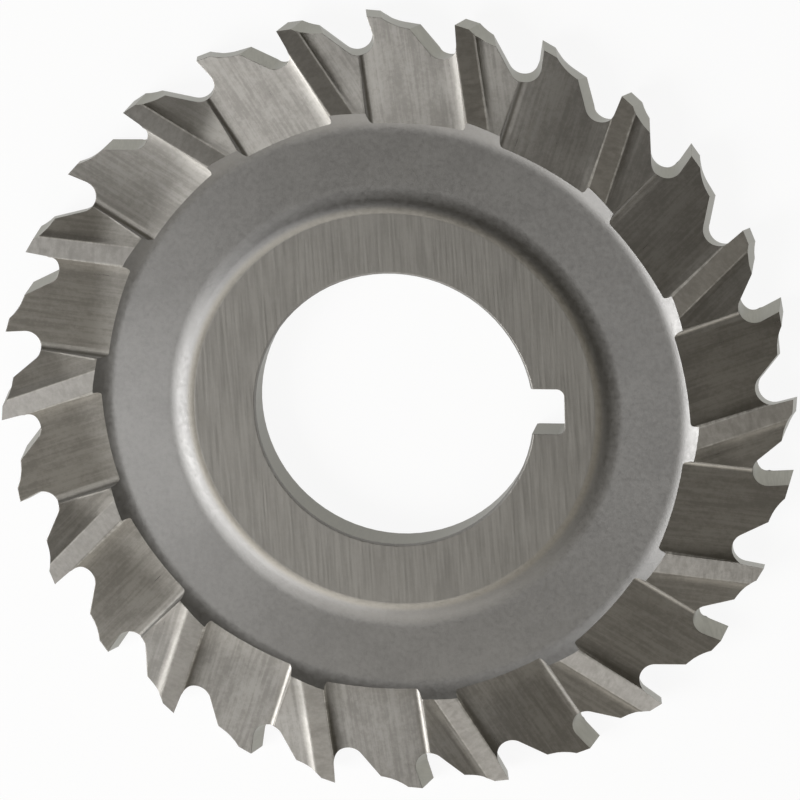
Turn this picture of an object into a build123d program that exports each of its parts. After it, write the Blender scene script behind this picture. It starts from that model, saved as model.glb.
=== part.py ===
from build123d import *
from math import cos, degrees, radians, sin, tan
import os

# Side milling cutter with staggered teeth, for cutting slots.
# One piece of tool steel: turned, milled, hardened, and ground on the hub and the teeth.
# It lies flat on its lower face. The bore's axis is +Z through the origin, the keyway opens to +X,
# and the teeth point anticlockwise as seen from above.

# Standard sizes, in millimetres: 2 1/2 in diameter, 1/8 in wide, 7/8 in bore
outside_diameter = 63.5
width = 3.175
bore_diameter = 22.225

# Turned body
bore_chamfer = 0.16
hub_radius = 16.0
web_inner_radius = 18.2
web_outer_radius = 22.8
rim_inner_radius = 24.25
web_recess = 0.4
turning_allowance = 0.15

# Keyway
keyway_width = 3.7
keyway_floor_radius = 13.6
keyway_corner_radius = 0.6

# Teeth: every second one cuts on the upper side, the others on the lower side.
# A tooth's tip leads on the side that it cuts, and its edge leans back from there.
side_tooth_count = 14
upper_tip_angle = 2.3
lower_tip_angle = upper_tip_angle - 12.1
helix_angle = 11.0

# Gullet ahead of a tooth, seen along its edge: x runs out through the tip, y runs ahead of it
rake_angle = 13.3
gullet_radius = 1.25
gullet_back_angle = 40.5
next_heel = (30.65, 3.59)

# Back of a tooth, seen the same way: a narrow land, then a hollow relief down to the heel
edge_land_length = 1.14
edge_land_clearance = 7.1
edge_relief_middle = (31.008, -2.075)
heel = (30.685, -3.033)
heel_angle = 11.7
heel_run = 2.0

# Side of a tooth: the form wheel's passes run along one straight line that leans ahead of the radius.
# Offsets are measured from the bore's axis, square to that line.
feed_lean = 17.12
side_edge_offset = 9.15
gash_front_offset = 1.25
side_land_width = 1.6
side_land_clearance = 1.35
edge_break = 0.15
side_relief_width = 3.75
gash_depth = 0.343
gash_fall = 1.75
side_relief_depth = 0.215
side_relief_fall = 0.5
side_relief_clearance = 1.5
wheel_corner_radius = 0.5
run_out_start = 23.85
run_out_slope = 4.0

# How far a cut reaches past the metal that it takes away
clear = 1.25

outside_radius = outside_diameter / 2
bore_radius = bore_diameter / 2
mid_height = width / 2
web_half = mid_height - web_recess
hub_wall_middle = ((hub_radius + web_inner_radius) / 2, mid_height - web_recess / 2)
side_land_offset = side_edge_offset + side_land_width
tip_lag = degrees(mid_height * tan(radians(helix_angle)) / outside_radius)
feed_line = Vector(cos(radians(feed_lean)), sin(radians(feed_lean)), 0)
ahead = Vector(-sin(radians(feed_lean)), cos(radians(feed_lean)), 0)


def edge_view(lean):
    """Plane square to a tooth's edge at mid height. Lean is 1 where the upper end of the edge leads."""
    edge_line = (0, lean * sin(radians(helix_angle)), cos(radians(helix_angle)))
    return Plane(origin=(0, 0, mid_height), x_dir=(1, 0, 0), z_dir=edge_line)


def gullet(lean):
    """Space ahead of one tooth, cut straight across the rim along the tooth's edge."""
    rake_slope = tan(radians(rake_angle))
    back_slope = tan(radians(gullet_back_angle))
    heel_x, heel_y = next_heel
    root_x = heel_x - (outside_radius * rake_slope + heel_y) * back_slope
    root_x = root_x / (1 - rake_slope * back_slope)
    root_y = (root_x - outside_radius) * rake_slope
    top_x = outside_radius + clear
    top_y = heel_y + (top_x - heel_x) / back_slope
    with BuildPart() as space:
        with BuildSketch(edge_view(lean)) as form:
            with BuildLine():
                Polyline((top_x, clear * rake_slope), (root_x, root_y), (top_x, top_y), close=True)
            make_face()
            fillet(form.vertices().sort_by(Axis.X)[0], gullet_radius)
        extrude(amount=width, both=True)
    return space.part


def edge_relief(lean):
    """Metal ground off the back of one tooth, from just ahead of its tip to past its heel."""
    land_slope = tan(radians(edge_land_clearance))
    start_y = clear / 2
    top_x = outside_radius + clear
    land_start = (outside_radius + start_y * land_slope, start_y)
    land_end = (outside_radius - edge_land_length * land_slope, -edge_land_length)
    run_end = (heel[0] - heel_run * tan(radians(heel_angle)), heel[1] - heel_run)
    with BuildPart() as ground_off:
        with BuildSketch(edge_view(lean)):
            with BuildLine():
                Polyline((top_x, start_y), land_start, land_end)
                ThreePointArc(land_end, edge_relief_middle, heel)
                Polyline(heel, run_end, (top_x, run_end[1]), (top_x, start_y))
            make_face()
        extrude(amount=width, both=True)
    return ground_off.part


def side_pass(offset, reach, depth, fall, clearance, rounded_corners):
    """Metal that one pass of the form wheel takes off the upper side.

    The wheel's rounded corner runs at the offset, and its face reaches ahead from there, or behind where
    reach is negative. Its floor rises by the clearance angle towards the front. Outwards from where the
    run-out starts, at depth, the floor falls gently. Inwards it climbs out of the metal on a steeper slope.
    """
    across = ahead * cos(radians(clearance)) + Vector(0, 0, sin(radians(clearance)))
    floor_normal = feed_line.cross(across)
    corner_start = feed_line * run_out_start - ahead * offset + Vector(0, 0, width - depth)
    with BuildPart() as taken_off:
        for slope, mode in [(fall, Mode.ADD), (run_out_slope, Mode.INTERSECT)]:
            travel = feed_line * cos(radians(slope)) - floor_normal * sin(radians(slope))
            with BuildSketch(Plane(origin=corner_start, x_dir=across, z_dir=travel)) as wheel_form:
                with Locations((reach / 2, clear / 2)):
                    Rectangle(abs(reach), clear)
                floor_corners = wheel_form.vertices().group_by(Axis.Y)[0].sort_by_distance((0, 0))
                fillet(floor_corners[:rounded_corners], wheel_corner_radius)
            extrude(amount=outside_radius + clear - run_out_start, both=True, mode=mode)
    return taken_off.part


def side_land():
    """Thin wedge ground off the upper side of one tooth, which gives its side edge clearance."""
    clearance_slope = tan(radians(side_land_clearance))
    start = side_edge_offset - clear
    land_start = side_edge_offset - edge_break
    end = side_land_offset + side_relief_width
    middle = feed_line * run_out_start + Vector(0, 0, width)
    with BuildPart() as wedge:
        with BuildSketch(Plane(origin=middle, x_dir=ahead, z_dir=feed_line)):
            with BuildLine():
                Polyline(
                    (-start, clear),
                    (-start, (land_start - start) * clearance_slope),
                    (-end, -(end - land_start) * clearance_slope),
                    (-end, clear),
                    close=True,
                )
            make_face()
        extrude(amount=outside_radius + clear - run_out_start, both=True)
    return wedge.part


gash_reach = side_edge_offset - gash_front_offset
upper_cuts = [
    side_pass(side_edge_offset, gash_reach, gash_depth, gash_fall, 0, 2),
    side_pass(
        side_land_offset, -side_relief_width, side_relief_depth, side_relief_fall, side_relief_clearance, 1
    ),
    side_land(),
]
lower_cuts = [mirror(cut, about=Plane.XY.offset(mid_height)) for cut in upper_cuts]

# Each set of teeth: the angle of its tips where they lead, its cuts across the edge and on its side
tooth_sets = [
    (upper_tip_angle, [gullet(1), edge_relief(1)], upper_cuts),
    (lower_tip_angle, [gullet(-1), edge_relief(-1)], lower_cuts),
]

section_plane = Plane(origin=(0, 0, mid_height), x_dir=(1, 0, 0), z_dir=(0, -1, 0))

with BuildPart() as side_milling_cutter:
    # Turned body: a double curve falls from the hub to the recessed web, and a cone climbs to the rim
    with BuildSketch(section_plane) as half_section:
        with BuildLine():
            Polyline((bore_radius, 0), (bore_radius, mid_height), (hub_radius, mid_height))
            hub_curve = TangentArc((hub_radius, mid_height), hub_wall_middle, tangent=(1, 0))
            TangentArc(hub_wall_middle, (web_inner_radius, web_half), tangent=hub_curve % 1)
            Polyline(
                (web_inner_radius, web_half),
                (web_outer_radius, web_half),
                (rim_inner_radius, mid_height),
                (outside_radius + turning_allowance, mid_height),
                (outside_radius + turning_allowance, 0),
                (bore_radius, 0),
            )
        make_face()
        chamfer(half_section.vertices().sort_by_distance((bore_radius, mid_height))[0], bore_chamfer)
        mirror(about=Plane.XZ)
    revolve(axis=Axis.Z)

    # Keyway, open to the bore
    with BuildSketch(Plane.XY):
        with Locations((keyway_floor_radius / 2, 0)):
            RectangleRounded(keyway_floor_radius, keyway_width, keyway_corner_radius)
    extrude(amount=width, mode=Mode.SUBTRACT)

    # Staggered teeth
    for tip_angle, edge_cuts, side_cuts in tooth_sets:
        with PolarLocations(0, side_tooth_count, start_angle=tip_angle - tip_lag):
            add(edge_cuts, mode=Mode.SUBTRACT)
        with PolarLocations(0, side_tooth_count, start_angle=tip_angle):
            add(side_cuts, mode=Mode.SUBTRACT)

side_milling_cutter.part.label = "side_milling_cutter"
os.makedirs("parts", exist_ok=True)
export_step(side_milling_cutter.part, "parts/side_milling_cutter.step")

print("solids:", len(side_milling_cutter.part.solids()))
print("faces:", len(side_milling_cutter.part.faces()))
print("volume in cubic millimetres:", round(side_milling_cutter.part.volume, 2))
print("box:", side_milling_cutter.part.bounding_box())
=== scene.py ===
# %% [markdown]
# # A side milling cutter on a pale studio floor
# A side milling cutter is a thin steel disc with teeth on its rim, which cuts slots. This one is a single
# piece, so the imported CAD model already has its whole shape. What is left to make here is its finish: a
# ground hub, a matt web, teeth that carry the marks of the wheel that ground them, and the light that
# shows them. The model could be drawn again in Blender, but then its sizes could drift, so this first
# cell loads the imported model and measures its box.

import math

import bpy
import numpy as np
from mathutils import Matrix, Vector


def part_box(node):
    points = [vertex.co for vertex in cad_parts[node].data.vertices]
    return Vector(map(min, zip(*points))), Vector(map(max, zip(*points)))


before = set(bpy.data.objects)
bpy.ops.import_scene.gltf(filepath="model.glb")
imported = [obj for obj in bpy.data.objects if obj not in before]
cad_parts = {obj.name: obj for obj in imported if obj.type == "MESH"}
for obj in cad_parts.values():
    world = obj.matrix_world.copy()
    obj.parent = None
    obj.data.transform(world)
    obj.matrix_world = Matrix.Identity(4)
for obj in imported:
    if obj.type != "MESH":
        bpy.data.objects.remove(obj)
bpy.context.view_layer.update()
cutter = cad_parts["side_milling_cutter"]
low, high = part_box("side_milling_cutter")
print("cutter box in millimetres:", [round(1000 * (b - a), 2) for a, b in zip(low, high)])

# %% [markdown]
# The finish changes from place to place, and the places follow from how the cutter is made. They could
# be picked by eye on the mesh, but the same sizes as in the CAD source, in millimetres and degrees, put
# them exactly on its edges. Each side has its own set of teeth. Each tooth has a straight line along
# which the form wheel passed over it, leaning ahead of the radius, and an offset is a distance from the
# cutter's axis, square to that line.

# %% Sizes that the finish follows
# The turned body
width = round(1000 * (high[2] - low[2]), 3)
hub_radius = 16.0
web_inner_radius = 18.2
web_outer_radius = 22.8
rim_inner_radius = 24.25
web_recess = 0.4

# The teeth
side_tooth_count = 14
upper_tip_angle = math.radians(2.3)
lower_tip_angle = upper_tip_angle - math.radians(12.1)
feed_lean = math.radians(17.12)
gash_front_angle = math.radians(14.5)
gash_front_offset = 1.25
side_edge_offset = 9.15
side_land_width = 1.6
run_out_start = 23.85
gash_fall = math.radians(1.75)
relief_fall = math.radians(0.5)
run_out_slope = math.radians(4.0)

# What follows from them
tooth_pitch = math.radians(360 / side_tooth_count)
side_land_offset = side_edge_offset + side_land_width
web_middle_radius = (web_inner_radius + web_outer_radius) / 2
cone_slope = web_recess / (rim_inner_radius - web_outer_radius)
hub_curve_run = (web_inner_radius - hub_radius) / 2
hub_curve_drop = web_recess / 2
hub_curve_radius = (hub_curve_run**2 + hub_curve_drop**2) / (2 * hub_curve_drop)
print("radius of the two curves from hub to web:", round(hub_curve_radius, 3))

# %% [markdown]
# A material in Blender is a graph of nodes. It could be built by hand in the shader editor, or by one
# line of Python for each node and link, and both hide the sum behind the wiring. Sums on positions are
# easier to read as Python, so a small class wraps one output of a node and turns `+`, `*` and the like
# into Math nodes. Every other node is made by one method that takes its type, its settings and the
# values or links of its sockets.

# %% A short way to write shader maths
class Wire:
    """One number, vector or colour that flows through a material. Operators on numbers add Math nodes."""

    def __init__(self, tree, socket):
        self.tree = tree
        self.socket = socket

    def node(self, kind, settings=None, output=0, **inputs):
        """A new node of that kind, with its settings first and then its inputs. Returns one output.

        An input is named by its socket, with _ for a space, or by i and its place among the sockets.
        """
        made = self.tree.nodes.new(kind)
        for name, value in (settings or {}).items():
            setattr(made, name, value)
        for name, value in inputs.items():
            key = int(name[1:]) if name[0] == "i" and name[1:].isdigit() else name.replace("_", " ")
            if isinstance(value, Wire):
                self.tree.links.new(value.socket, made.inputs[key])
            elif isinstance(value, tuple) and len(value) == 3 and made.inputs[key].type == "RGBA":
                made.inputs[key].default_value = (*value, 1)
            else:
                made.inputs[key].default_value = value
        return Wire(self.tree, made.outputs[output])

    def math(self, operation, *values):
        """A Math node on these values."""
        inputs = {f"i{n}": value for n, value in enumerate(values)}
        return self.node("ShaderNodeMath", {"operation": operation}, **inputs)

    def __add__(self, other):
        return self.math("ADD", self, other)

    def __radd__(self, other):
        return self.math("ADD", other, self)

    def __sub__(self, other):
        return self.math("SUBTRACT", self, other)

    def __rsub__(self, other):
        return self.math("SUBTRACT", other, self)

    def __mul__(self, other):
        return self.math("MULTIPLY", self, other)

    def __rmul__(self, other):
        return self.math("MULTIPLY", other, self)

    def __truediv__(self, other):
        return self.math("DIVIDE", self, other)

    def __abs__(self):
        return self.math("ABSOLUTE", self)

    def root(self):
        """The square root."""
        return self.math("SQRT", self)

    def at_least(self, other):
        """The larger of the two."""
        return self.math("MAXIMUM", self, other)

    def at_most(self, other):
        """The smaller of the two."""
        return self.math("MINIMUM", self, other)

    def ramp(self, start, end):
        """0 at start, 1 at end, with a smooth step between them. Start may be above end."""
        settings = {"interpolation_type": "SMOOTHSTEP"}
        return self.node("ShaderNodeMapRange", settings, Value=self, From_Min=start, From_Max=end)

    def vector(self, x, y, z):
        """Three numbers as one vector."""
        return self.node("ShaderNodeCombineXYZ", X=x, Y=y, Z=z)

    def parts(self):
        """The three numbers of this vector."""
        return [self.node("ShaderNodeSeparateXYZ", output=n, Vector=self) for n in range(3)]

    def mix_colour(self, first, second):
        """First colour where this number is 0, second where it is 1."""
        return self.node("ShaderNodeMix", {"data_type": "RGBA"}, 2, i0=self, i6=first, i7=second)

    def mix_vector(self, first, second):
        """First vector where this number is 0, second where it is 1."""
        return self.node("ShaderNodeMix", {"data_type": "VECTOR"}, 1, i0=self, i4=first, i5=second)

    def mix_shader(self, first, second):
        """First shader where this number is 0, second where it is 1."""
        return self.node("ShaderNodeMixShader", i0=self, i1=first, i2=second)

    def finish(self, surface):
        """Joins this shader to the material's output."""
        output = self.tree.nodes.new("ShaderNodeOutputMaterial")
        self.tree.links.new(surface.socket, output.inputs["Surface"])


def new_material(name):
    """An empty node material, and a Wire that starts its graph."""
    material = bpy.data.materials.new(name)
    material.use_nodes = True
    material.node_tree.nodes.clear()
    return material, Wire(material.node_tree, None)


print("shader helper ready")

# %% [markdown]
# The steel is one material, because the cutter is one piece. It could be painted on an unwrapped mesh,
# but position alone says which finish a point has, so nothing has to be unwrapped, and the pattern is
# the same from every side and moves with the cutter. The material first works out where a point is: its
# radius and angle, which tooth it belongs to, and its place in that tooth's own frame. There, `along`
# runs out along the wheel's path, and `behind` is the offset, which grows from the gash to the side
# edge, the land and the relief.

# %% Where a point is on the cutter
steel, graph = new_material("ground_tool_steel")
place = graph.node("ShaderNodeTexCoord", output="Object")
facing = graph.node("ShaderNodeTexCoord", output="Normal")
x, y, z = [1000 * part for part in place.parts()]
facing_z = facing.parts()[2]
radius = (x * x + y * y).root()
angle = graph.math("ARCTAN2", y, x)
upper = z.ramp(width / 2 - 0.01, width / 2 + 0.01)
tip_angle = lower_tip_angle + (upper_tip_angle - lower_tip_angle) * upper
tooth_number = graph.math("CEIL", (angle - tip_angle - gash_front_angle) / tooth_pitch)
tooth_angle = angle - tip_angle - tooth_number * tooth_pitch
along = radius * graph.math("COSINE", tooth_angle - feed_lean)
behind = radius * graph.math("SINE", feed_lean - tooth_angle)
print("nodes so far:", len(steel.node_tree.nodes))

# %% [markdown]
# Masks divide the surface into its finishes. The mesh could be cut into groups of faces with a material
# each, but it stays as the CAD made it, and a mask can fade where a group of faces can't. A face of the
# sides points up or down, and the teeth's edges, the bore and the keyway don't. The matt part is what
# the lathe left: the curve down from the hub, the flat web, and the cone up to the rim. A point belongs
# to it where it lies on that profile. The rest of the sides is ground: the hub inside, the teeth outside.

# %% Masks for the turned part, the teeth and their lands
side_face = abs(facing_z).ramp(0.2, 0.3)
above_web = abs(z - width / 2) - (width / 2 - web_recess)
off_profile = abs(above_web - ((radius - web_outer_radius) * cone_slope).at_least(0.0))
turned = off_profile.ramp(0.02, 0.012) * radius.ramp(rim_inner_radius + 0.02, rim_inner_radius)
teeth = radius.ramp(web_middle_radius - 0.05, web_middle_radius + 0.05)
in_hub_curve = radius.ramp(hub_radius - 0.02, hub_radius + 0.12) * (1 - teeth)
matt = turned.at_least(in_hub_curve) * side_face
before_land_end = behind.ramp(side_land_offset + 0.02, side_land_offset - 0.02)
land = behind.ramp(side_edge_offset - 0.02, side_edge_offset + 0.02) * before_land_end
print("masks ready")

# %% [markdown]
# Grinding leaves fine lines in the direction in which the wheel moved. A picture of scratches could give
# them, but it would repeat and would have to be laid over each tooth. Noise that is stretched along the
# wheel's path never repeats. Each tooth has its own lines and its own slow change of tone, because its
# number moves the place where the noise is read. The hub was ground in one straight pass, so its lines
# cross the bore, with a few longer scratches. Grain and mottle are the same in all directions, for the
# matt web.

# %% Lines and grain
def noise(lookup, scale, detail, roughness=0.6):
    """Clouds from -0.5 to 0.5."""
    clouds = graph.node("ShaderNodeTexNoise", Vector=lookup, Scale=scale, Detail=detail, Roughness=roughness)
    return clouds - 0.5


def lines(across_them, along_them, seed, per_mm, stretch, detail):
    """Noise with that many lines a millimetre, each drawn out by the stretch.

    The seed is the third coordinate of the noise, so another seed gives other lines.
    """
    lookup = graph.vector(across_them * per_mm, along_them * (per_mm / stretch), seed + 0.37 * per_mm)
    return noise(lookup, 1.0, detail)


side_seed = upper * 40
tooth_seed = tooth_number * 3.7 + side_seed
tooth_lines = lines(behind, along, tooth_seed, per_mm=3.6, stretch=22.0, detail=3.0)
tooth_bands = lines(behind, along, tooth_seed, per_mm=0.8, stretch=2.0, detail=5.0)
land_lines = lines(along, behind, tooth_seed, per_mm=3.5, stretch=3.0, detail=3.0)
hub_lines = lines(x + 0.03 * y, y, side_seed, per_mm=6.0, stretch=30.0, detail=3.0)
hub_bands = lines(x, y, side_seed, per_mm=0.6, stretch=2.0, detail=4.0)
hub_scratches = lines(x + 0.07 * y, y, side_seed, per_mm=2.6, stretch=45.0, detail=1.0).ramp(0.14, 0.24)
edge_lines = lines(x + 0.7 * y, z, y, per_mm=5.0, stretch=9.0, detail=2.0)
grain = noise(place, 2600.0, 4.0, 0.75)
mottle = noise(place, 260.0, 3.0)
print("nodes with the lines:", len(steel.node_tree.nodes))

# %% [markdown]
# A normal says which way a surface faces, and it decides where metal looks bright. Some corners of the
# real cutter are wide and soft, where the solid has a crease or a narrow fillet. More faces could round
# them, but the solid is near its limit of triangles, so there the normal is written out, as smooth
# shading does. It is written as a slope in the cutter's own frame and then brought into the world, so
# it turns with the cutter. Everywhere else the mesh's own normal is used, and a Bevel node rounds it a
# little at each edge, because no real edge is perfectly sharp.

# %% Helpers for written normals
def in_the_world(direction):
    """A direction in the cutter's own frame, turned to the world's, which the shader needs."""
    settings = {"vector_type": "VECTOR", "convert_from": "OBJECT", "convert_to": "WORLD"}
    return graph.node("ShaderNodeVectorTransform", settings, Vector=direction)


def unit(vector):
    """That vector at a length of 1."""
    return graph.node("ShaderNodeVectorMath", {"operation": "NORMALIZE"}, i0=vector)


def leaned_inwards(slope):
    """The normal of a face that lies flat, leaned towards the axis by that slope."""
    lean = graph.math("MULTIPLY", slope, -1.0) / radius
    return unit(in_the_world(graph.vector(x * lean, y * lean, graph.math("SIGN", facing_z))))


def leaned(start, slope_out, slope_ahead):
    """A normal, leaned out along the tooth's line and towards the tooth's front by those slopes."""
    line = tooth_number * tooth_pitch + tip_angle + feed_lean
    line_x = graph.math("COSINE", line)
    line_y = graph.math("SINE", line)
    lean_x = line_x * slope_out - line_y * slope_ahead
    lean_y = line_y * slope_out + line_x * slope_ahead
    lean = in_the_world(graph.vector(lean_x, lean_y, 0.0))
    return unit(graph.node("ShaderNodeVectorMath", {"operation": "ADD"}, i0=start, i1=lean))


upright = leaned_inwards(0.0)
rounded = graph.node("ShaderNodeBevel", {"samples": 6}, Radius=0.00007)
print("normals can be written")

# %% [markdown]
# All the finishes are bare metal, and differ in their tone, in how rough they are and in which way they
# spread the light. A ground line is a tiny groove, so ground steel scatters light mostly to the sides
# of its lines. Real grooves would need far too many faces, so the shader's own anisotropic spread does
# this. Its tangent runs round the cutter's axis, and a turn of it by a part of a full turn sets the
# direction of the spread. Spread and turn are plain numbers here, so every direction gets its own
# shader, and masks mix the shaders.

# %% Helpers for the finishes
def bare_steel(colour, roughness, normal, spread=0.0, turn=0.0):
    """Metal with this colour, roughness and normal. The spread and its turn are the same all over."""
    return graph.node(
        "ShaderNodeBsdfPrincipled",
        Base_Color=colour,
        Metallic=1.0,
        Roughness=roughness,
        Normal=normal,
        Anisotropic=spread,
        Anisotropic_Rotation=turn,
    )


def bump(height, depth_mm, normal):
    """That normal, tilted by a surface whose height of 1 is the depth in millimetres."""
    depth = depth_mm / 1000
    return graph.node("ShaderNodeBump", Strength=1.0, Distance=depth, Height=height, Normal=normal)


def tone(value, dark, light):
    """A colour between two, for a noise of -0.5 to 0.5."""
    return (value + 0.5).ramp(0.25, 0.75).mix_colour(dark, light)


print("finish helpers ready")

# %% [markdown]
# The hub is the ring round the bore that the arbor's collars press on, ground flat, in a warm grey. Its
# lines are faint, and a strong bump would make it look brushed, so the lines change the tone more than
# the height.

# %% The ground hub
hub_mix = hub_bands * 0.75 + hub_lines * 0.7 + hub_scratches * 0.5 + grain * 0.45
hub_tone = tone(hub_mix, (0.266, 0.258, 0.244), (0.303, 0.294, 0.278))
hub_normal = bump(hub_lines, 0.0013, rounded)
hub_finish = bare_steel(hub_tone, 0.42 + 0.25 * hub_lines, hub_normal)
print("hub finish ready")

# %% [markdown]
# The web is the thinner ring between hub and rim, turned and then made an even matt grey. The facets of
# the mesh could show on its curves, so its normals are worked out from the profile. From the hub it
# goes down in two arcs, and the sine of its slope is the distance from the nearer end of the curve over
# the radius of the arcs. The lip, where the curve leaves the hub, has been rubbed: it is warmer, and
# its marks run round it, so it spreads light round the axis and shows a thin bright line. Further out
# the web spreads light along the radius. At its outer corner the slope of the cone comes in gently.

# %% The matt web
from_curve_end = (radius - hub_radius).at_most(web_inner_radius - radius)
curve_sine = (from_curve_end / hub_curve_radius).at_least(0.0)
curve_slope = curve_sine / (1 - curve_sine * curve_sine).root()
cone_lean = radius.ramp(web_outer_radius - 0.45, web_outer_radius + 1.1) * 0.43
curve_normal = bump(grain, 0.008, leaned_inwards(-1 * curve_slope))
web_normal = bump(grain, 0.008, leaned_inwards(-0.02))
cone_normal = bump(grain, 0.01, leaned_inwards(cone_lean))

web_tone = tone(mottle * 0.5 + grain * 0.85, (0.222, 0.219, 0.216), (0.27, 0.267, 0.262))
rubbed_tone = tone(grain, (0.27, 0.257, 0.232), (0.325, 0.31, 0.282))
lip_tone = radius.ramp(hub_radius + 0.3, hub_radius + 0.8).mix_colour(rubbed_tone, web_tone)

lip_finish = bare_steel(lip_tone, 0.51 + 0.35 * grain, curve_normal, spread=0.5, turn=0.0)
curve_finish = bare_steel(web_tone, 0.5 + 0.35 * grain, curve_normal, spread=0.2, turn=0.25)
web_finish = bare_steel(web_tone, 0.5 + 0.28 * grain, web_normal, spread=0.4, turn=0.25)
cone_finish = bare_steel(web_tone, 0.48 + 0.35 * grain, cone_normal, spread=0.2, turn=0.25)
past_lip = radius.ramp(hub_radius + 0.9, hub_radius + 1.4)
past_curve = radius.ramp(web_inner_radius - 0.4, web_inner_radius + 0.3)
past_web = radius.ramp(web_outer_radius - 0.5, web_outer_radius + 0.1)
matt_finish = past_lip.mix_shader(lip_finish, curve_finish)
matt_finish = past_curve.mix_shader(matt_finish, web_finish)
matt_finish = past_web.mix_shader(matt_finish, cone_finish)
print("web finish ready")

# %% [markdown]
# Each tooth's side has three ground surfaces, one behind the other: the floor of the gash in front of
# the side edge, the narrow land behind the edge, and the floor of the relief. Smooth shading of the
# whole mesh would blur all their edges alike, so each surface has its own normal. The corners of the
# form wheel were round, so the floor of the gash climbs more and more towards the edge, and the land
# drops into the relief. `climb` and `drop` are those slopes, and `climb` grows with the square of the
# distance into the corner. The floors also fall gently outwards, and climb on a steeper slope inwards
# from where the wheel ran out. That change is spread over a few millimetres of the wheel's path. The
# small constant leans were found from how bright each tooth is in the photograph.

# %% Normals of the teeth's sides
corner_reach = 1.65
run_out_ease = 1.4
into_corner = (behind - (side_edge_offset - corner_reach)).at_least(0.0)
climb = 0.085 * into_corner * into_corner * behind.ramp(side_edge_offset + 0.15, side_edge_offset - 0.1)
drop_start = behind.ramp(side_land_offset - 0.11, side_land_offset + 0.17)
drop = 0.17 * drop_start * behind.ramp(side_land_offset + 0.8, side_land_offset + 0.2)
run_in = along.ramp(run_out_start + run_out_ease, run_out_start - run_out_ease)
past_crease = along.ramp(run_out_start - 0.01, run_out_start + 0.01)
off_crease = past_crease + run_in - 1


def floor_normal_of(fall, in_corner, lean_ahead, corner_lean):
    """The normal of a floor that falls outwards, with its run-out eased.

    Away from the corner it is the mesh's own, corrected near the crease by the part of the slope's
    change that has or hasn't come yet. In the corner all of it is written.
    """
    change = run_out_slope - fall
    plain = leaned(rounded, change * off_crease, lean_ahead)
    written = leaned(upright, fall + change * run_in, corner_lean)
    return in_corner.mix_vector(plain, written)


in_gash_corner = behind.ramp(side_edge_offset - corner_reach, side_edge_offset - corner_reach + 0.1)
in_relief_corner = behind.ramp(side_land_offset + 1.45, side_land_offset + 1.35)
gash_normal = floor_normal_of(gash_fall, in_gash_corner, 0.04, 0.04 + climb)
relief_normal = floor_normal_of(relief_fall, in_relief_corner, 0.02, -0.006 - drop)
land_normal = leaned(upright, 0.0, climb - drop - 0.069)
print("nodes with the normals:", len(steel.node_tree.nodes))

# %% [markdown]
# The wheel ran lengthwise over the floors. One round gloss would make every tooth about equally bright,
# but the real ones flash or go dark as a whole with their direction, so the floors spread light
# strongly across their lines. Near the run-out and in the gash's front corner the wheel rubbed more
# than it cut, and the finish is duller there. The land was ground in another pass, across the tooth.

# %% The ground sides of the teeth
tooth_mix = tooth_bands * 0.9 + tooth_lines * 1.1 + grain * 0.9
tooth_tone = tone(tooth_mix, (0.233, 0.2235, 0.2085), (0.302, 0.292, 0.273))
tooth_roughness = 0.29 + 0.06 * tooth_lines + 0.04 * tooth_bands
gash_bump = bump(tooth_lines, 0.0005, gash_normal)
relief_bump = bump(tooth_lines, 0.0005, relief_normal)
gash_finish = bare_steel(tooth_tone, tooth_roughness, gash_bump, spread=0.95, turn=0.03)
relief_finish = bare_steel(tooth_tone, tooth_roughness, relief_bump, spread=0.95, turn=0.067)
dull_finish = bare_steel(tooth_tone, 0.1 + tooth_roughness, gash_normal, spread=0.5, turn=0.04)

land_mix = mottle * 0.7 + land_lines * 0.8 + grain * 0.9
land_tone = tone(land_mix, (0.285, 0.275, 0.259), (0.338, 0.327, 0.31))
land_finish = bare_steel(land_tone, 0.38 + 0.2 * land_lines, land_normal, spread=0.6, turn=0.345)

in_run_out = 0.5 * along.ramp(run_out_start + 1.35, run_out_start - 0.85)
in_front_corner = behind.ramp(gash_front_offset + 0.85, gash_front_offset + 0.7)
past_side_edge = behind.ramp(side_edge_offset, side_edge_offset + 0.02)
tooth_finish = past_side_edge.mix_shader(gash_finish, relief_finish)
tooth_finish = in_run_out.at_least(in_front_corner).mix_shader(tooth_finish, dull_finish)
tooth_finish = land.mix_shader(tooth_finish, land_finish)
print("tooth finish ready")

# %% [markdown]
# The bore, the keyway and the edges of the teeth stand upright and are seen at a flat angle, where all
# metal turns bright. One plain ground steel does for them. Its colour is painted shade: a little green
# and darker than the sides, for the shade in the gullets and the dim surroundings these faces reflect,
# and the bore is darker still, as painted shade inside it, to keep it from looking white.

# %% Edges and bore, with painted shade
# Painted shade: these tones are darkened and tinted olive for the shade and dim surroundings the upright
# faces reflect.
bore_painted_shade_tone = tone(edge_lines, (0.165, 0.16, 0.133), (0.212, 0.206, 0.174))
rim_painted_shade_tone = tone(edge_lines, (0.253, 0.248, 0.213), (0.312, 0.306, 0.265))
edge_painted_shade_tone = teeth.mix_colour(bore_painted_shade_tone, rim_painted_shade_tone)
edge_normal = bump(edge_lines, 0.003, rounded)
edge_finish_with_painted_shade = bare_steel(edge_painted_shade_tone, 0.4 + 0.2 * edge_lines, edge_normal)
print("edge finish ready")
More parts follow.
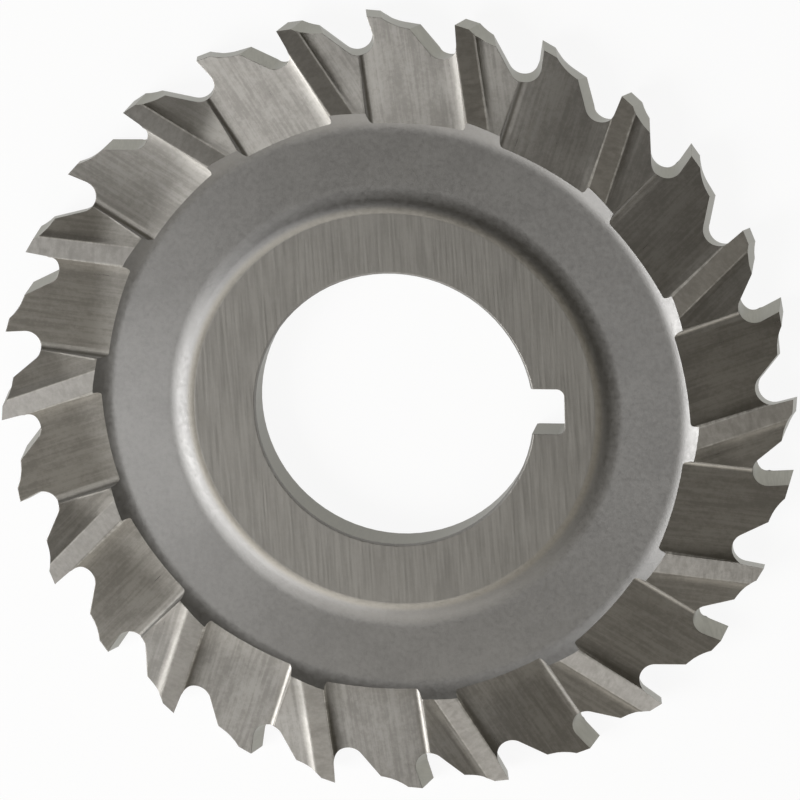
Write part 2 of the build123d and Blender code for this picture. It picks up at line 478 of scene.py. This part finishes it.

# %% [markdown]
# Handling and use have rubbed thin light lines on the two long edges of each land: a strong one on the
# side edge in front, and a weak one behind. Their light tone is also a painted highlight, for the bright
# line that a rounded edge shows where it catches the light. A mask of all sharp edges would light the
# whole outline, so the lines are placed by their offsets. Only the highest metal is rubbed, so they keep
# to a narrow range of heights, and noise breaks them up.

# %% Worn edges and painted highlights
front_start = behind.ramp(side_edge_offset - 0.26, side_edge_offset - 0.12)
front_line = front_start * behind.ramp(side_edge_offset + 0.06, side_edge_offset)
back_start = behind.ramp(side_land_offset - 0.11, side_land_offset - 0.05)
back_line = 0.5 * back_start * behind.ramp(side_land_offset + 0.09, side_land_offset + 0.01)
near_the_top = above_web.ramp(web_recess - 0.25, web_recess - 0.15)
wear_and_highlight_strength = (0.8 + 1.5 * land_lines + grain) * teeth * (1 - turned) * near_the_top
wear_and_highlight_mask = (wear_and_highlight_strength * (front_line + back_line)).at_least(0.0).at_most(1.0)
# Painted highlight as well as wear: a light tone along the two long edges of each land.
wear_and_highlight_tone = tone(land_lines, (0.37, 0.357, 0.33), (0.475, 0.46, 0.43))
wear_and_highlight_finish = bare_steel(wear_and_highlight_tone, 0.5, upright)
print("worn edges ready")

# %% [markdown]
# The cutter is one steel with many finishes. It could have a slot for each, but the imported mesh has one
# slot, so the masks put the finishes together, from the inside out, and the material takes that slot.

# %% The whole steel
ground_finish = teeth.mix_shader(hub_finish, tooth_finish)
side_finish = matt.mix_shader(ground_finish, matt_finish)
whole_finish = side_face.mix_shader(edge_finish_with_painted_shade, side_finish)
graph.finish(wear_and_highlight_mask.mix_shader(whole_finish, wear_and_highlight_finish))
cutter.data.materials.clear()
cutter.data.materials.append(steel)
print("steel has", len(steel.node_tree.nodes), "nodes")

# %% [markdown]
# The photograph's background is white. A white world without a floor could give that, but the cutter
# would float. So it lies on a wide pale sheet that curves up into a low wall far away, as a studio's
# paper sweep does, and no view shows a horizon. The camera sees the sheet nearly white, and so do the
# metal's reflections, while a small share of plain paper still takes the cutter's soft shadow.

# %% Floor
def paper_sweep(name, flat_radius, curve_radius, wall_height, turns=96):
    """A round sheet turned about the vertical axis.

    Its profile is flat to the flat radius, then a quarter circle of the curve radius, then a wall.
    """
    rise = np.linspace(0, math.pi / 2, 25)
    reach = np.concatenate([flat_radius + curve_radius * np.sin(rise), [flat_radius + curve_radius]])
    level = np.concatenate([curve_radius * (1 - np.cos(rise)), [curve_radius + wall_height]])
    turn = np.linspace(0, 2 * math.pi, turns, endpoint=False)
    ring_x = np.outer(reach, np.cos(turn))
    ring_y = np.outer(reach, np.sin(turn))
    ring_z = np.outer(level, np.ones(turns))
    points = np.stack([ring_x, ring_y, ring_z], axis=-1).reshape(-1, 3)
    ring_start = np.arange(len(reach) - 1)[:, None] * turns
    here = ring_start + np.arange(turns)
    beside = ring_start + np.roll(np.arange(turns), -1)
    quads = np.stack([here, here + turns, beside + turns, beside], axis=-1).reshape(-1, 4)
    mesh = bpy.data.meshes.new(name)
    mesh.from_pydata(points.tolist(), [], [tuple(range(turns))] + quads.tolist())
    mesh.shade_smooth()
    sheet = bpy.data.objects.new(name, mesh)
    bpy.context.scene.collection.objects.link(sheet)
    return sheet


floor = paper_sweep("paper_floor", flat_radius=2.5, curve_radius=1.0, wall_height=0.5)
paper, sheet_graph = new_material("pale_paper")
white_share = 0.92
seen = sheet_graph.node("ShaderNodeLightPath", output="Is Camera Ray")
seen = seen + sheet_graph.node("ShaderNodeLightPath", output="Is Glossy Ray")
seen = seen + sheet_graph.node("ShaderNodeLightPath", output="Is Transmission Ray")
shaded_paper = sheet_graph.node("ShaderNodeBsdfDiffuse", Color=(0.9, 0.9, 0.9))
white_paper = sheet_graph.node("ShaderNodeEmission", Color=(1, 1, 1), Strength=1.0)
sheet_graph.finish((seen.at_most(1.0) * white_share).mix_shader(shaded_paper, white_paper))
floor.data.materials.append(paper)
print("floor is", round(floor.dimensions.x, 2), "m wide")

# %% [markdown]
# Metal shows what stands around it more than its own colour. A picture of a real studio could stand
# round it, but a few square lamps are easier to move until each flank is as bright as in the
# photograph. A large one on the left makes the flanks that face it bright. A second one in front, a
# little warm, lights the flanks that face the viewer. The two high ones are weak and keep the flat
# faces from going dead. The right side has only the dim warm surroundings, so the recess and the teeth
# read clearly.

# %% Lamps
def soft_box(name, azimuth, elevation, distance, size, brightness, colour=(1, 1, 1)):
    """A square area lamp at that direction and distance, in metres, which points at the cutter.

    Its power is its brightness times its area times pi, so that brightness 1 looks white in a mirror.
    """
    lamp = bpy.data.lights.new(name, "AREA")
    lamp.shape = "SQUARE"
    lamp.size = size
    lamp.energy = brightness * math.pi * size**2
    lamp.color = colour
    holder = bpy.data.objects.new(name, lamp)
    turn = math.radians(azimuth)
    lift = math.radians(elevation)
    level = math.cos(lift)
    direction = Vector((level * math.cos(turn), level * math.sin(turn), math.sin(lift)))
    holder.location = direction * distance
    holder.rotation_euler = direction.to_track_quat("Z", "Y").to_euler()
    bpy.context.scene.collection.objects.link(holder)


world = bpy.data.worlds.new("studio")
bpy.context.scene.world = world
world.use_nodes = True
surroundings = world.node_tree.nodes["Background"]
surroundings.inputs["Color"].default_value = (1, 0.91, 0.72, 1)
surroundings.inputs["Strength"].default_value = 0.11
soft_box("left_box", 204, 36, distance=0.5, size=0.3, brightness=8.2)
soft_box("front_box", 262, 33, distance=0.5, size=0.4, brightness=1.4, colour=(1, 0.96, 0.88))
soft_box("top_box", 239, 72, distance=0.6, size=0.3, brightness=0.12)
soft_box("high_left_box", 172, 66, distance=0.5, size=0.14, brightness=0.8)

# %% [markdown]
# The photograph looks down on the cutter, a little from the right and from above the middle of the
# picture. A camera straight above would hide the bore's wall and the edges of the teeth at the top.
# The angle and the distance were fitted to the tips of the teeth and to the bore. The distance is long,
# so the lens is long too. The frame is moved by about one part in a hundred, because the cutter isn't
# quite in the middle of the photograph.

# %% Camera
camera_turn = math.radians(9.149)
camera_lift = math.radians(16.275)
keyway_turn = math.radians(1.9)
camera_distance = 0.5881
picture_pixels = 800
pixels_per_mm = 12.659
middle_in_picture = (393.89, 410.03)

unturn = Matrix.Rotation(-keyway_turn, 3, "Z")
level = math.cos(camera_lift)
towards = Vector((level * math.sin(camera_turn), math.sin(camera_lift), level * math.cos(camera_turn)))
right = Vector((0, 1, 0)).cross(towards).normalized()
up = towards.cross(right)
axes = [unturn @ v for v in (right, up, towards)]
lens = bpy.data.cameras.new("camera")
lens.sensor_width = 36
lens.lens = lens.sensor_width * pixels_per_mm * camera_distance * 1000 / picture_pixels
lens.shift_x = (picture_pixels / 2 - middle_in_picture[0]) / picture_pixels
lens.shift_y = (middle_in_picture[1] - picture_pixels / 2) / picture_pixels
lens.clip_start = 0.05
lens.clip_end = 20
camera = bpy.data.objects.new("camera", lens)
bpy.context.scene.collection.objects.link(camera)
pose = Matrix(axes).transposed().to_4x4()
pose.translation = Vector((0, 0, width / 1000)) + axes[2] * camera_distance
camera.matrix_world = pose
bpy.context.scene.camera = camera
print("lens in millimetres:", round(lens.lens, 1))

# %% [markdown]
# Blender's usual view of a scene bends its bright tones. Here the picture is shown as it is, so a tone
# in the material is a tone in the picture. Nothing is added to the cutter's shape.

# %% Finish
bpy.context.scene.view_settings.view_transform = "Standard"
